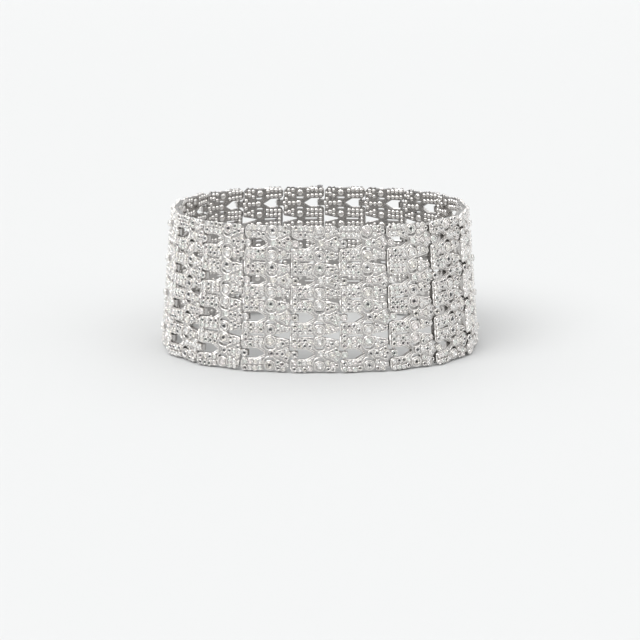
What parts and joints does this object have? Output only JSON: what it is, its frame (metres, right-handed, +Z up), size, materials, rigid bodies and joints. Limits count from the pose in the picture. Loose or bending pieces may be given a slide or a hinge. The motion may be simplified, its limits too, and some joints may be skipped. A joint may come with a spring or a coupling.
{
  "type": "choker necklace",
  "caption": "Wide openwork choker: stone-set metal link panels hinged side by side into a closed, slightly flared collar, with a plain pull-out clasp pin at the back.",
  "frame": {"origin": "centre of the neck opening in the plane of the bottom edge, where the collar sits on the base of the neck", "axes": "+Z up the neck, -Y the front, +X towards the right-hand side as seen from the front"},
  "size_m": [0.1471, 0.1151, 0.0648],
  "materials": {
    "setting_metal": "polished silver-tone plating between the stones",
    "clasp_metal": "polished silver-tone plating",
    "stones": "clear faceted rhinestones, foil-backed"
  },
  "bodies": {
    "root": {"panel_01": "setting_metal", "panel_02": "setting_metal", "panel_03": "setting_metal", "panel_04": "setting_metal", "panel_05": "setting_metal", "panel_06": "setting_metal", "panel_07": "setting_metal", "panel_08": "setting_metal", "panel_09": "setting_metal", "panel_10": "setting_metal", "panel_11": "setting_metal", "panel_12": "setting_metal", "panel_13": "setting_metal", "panel_14": "setting_metal", "panel_15": "setting_metal", "panel_16": "setting_metal", "panel_17": "setting_metal", "panel_18": "setting_metal", "panel_19": "setting_metal", "clasp_pin": "clasp_metal"}
  },
  "joints": []
}
